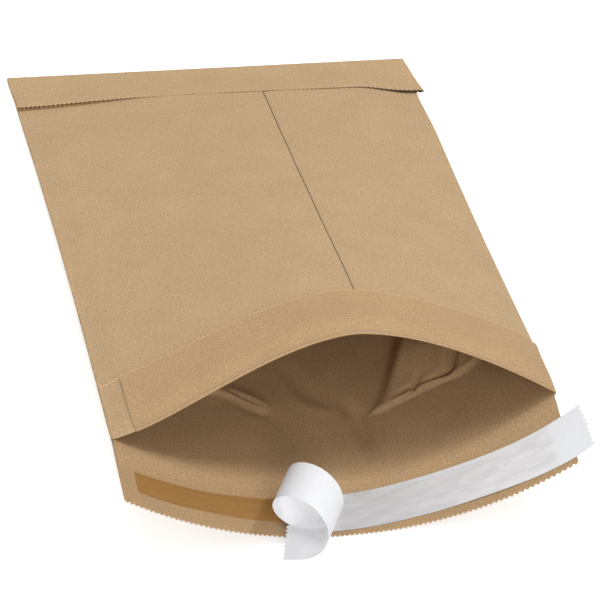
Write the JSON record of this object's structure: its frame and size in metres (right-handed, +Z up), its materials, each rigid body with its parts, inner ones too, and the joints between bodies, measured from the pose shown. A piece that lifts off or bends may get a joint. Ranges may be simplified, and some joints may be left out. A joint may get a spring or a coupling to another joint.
{
  "type": "padded envelope",
  "caption": "Kraft paper padded envelope lying open: lens-shaped mouth with a folded-back lip, glued bottom fold, lapped seam, and a flap with adhesive and a curled, half-peeled release liner.",
  "frame": {"origin": "on the table, under the middle of the envelope's box", "axes": "+Z up, +Y towards the closed bottom fold, the mouth and its flap towards -Y, +X to the right seen from the mouth"},
  "size_m": [0.2482, 0.3908, 0.0904],
  "materials": {
    "outer_kraft": "matte kraft paper",
    "inner_kraft": "matte kraft paper",
    "macerated_padding": "loose shredded paper",
    "paper_glue": "dried glue",
    "sealing_adhesive": "tacky amber film",
    "release_paper": "smooth coated paper"
  },
  "bodies": {
    "root": {"outer_sheet": "outer_kraft", "padding": "macerated_padding", "inner_sheet": "inner_kraft", "seam_glue": "paper_glue", "lip_glue": "paper_glue", "bottom_glue": "paper_glue", "adhesive_strip": "sealing_adhesive", "release_liner": "release_paper"}
  },
  "joints": []
}
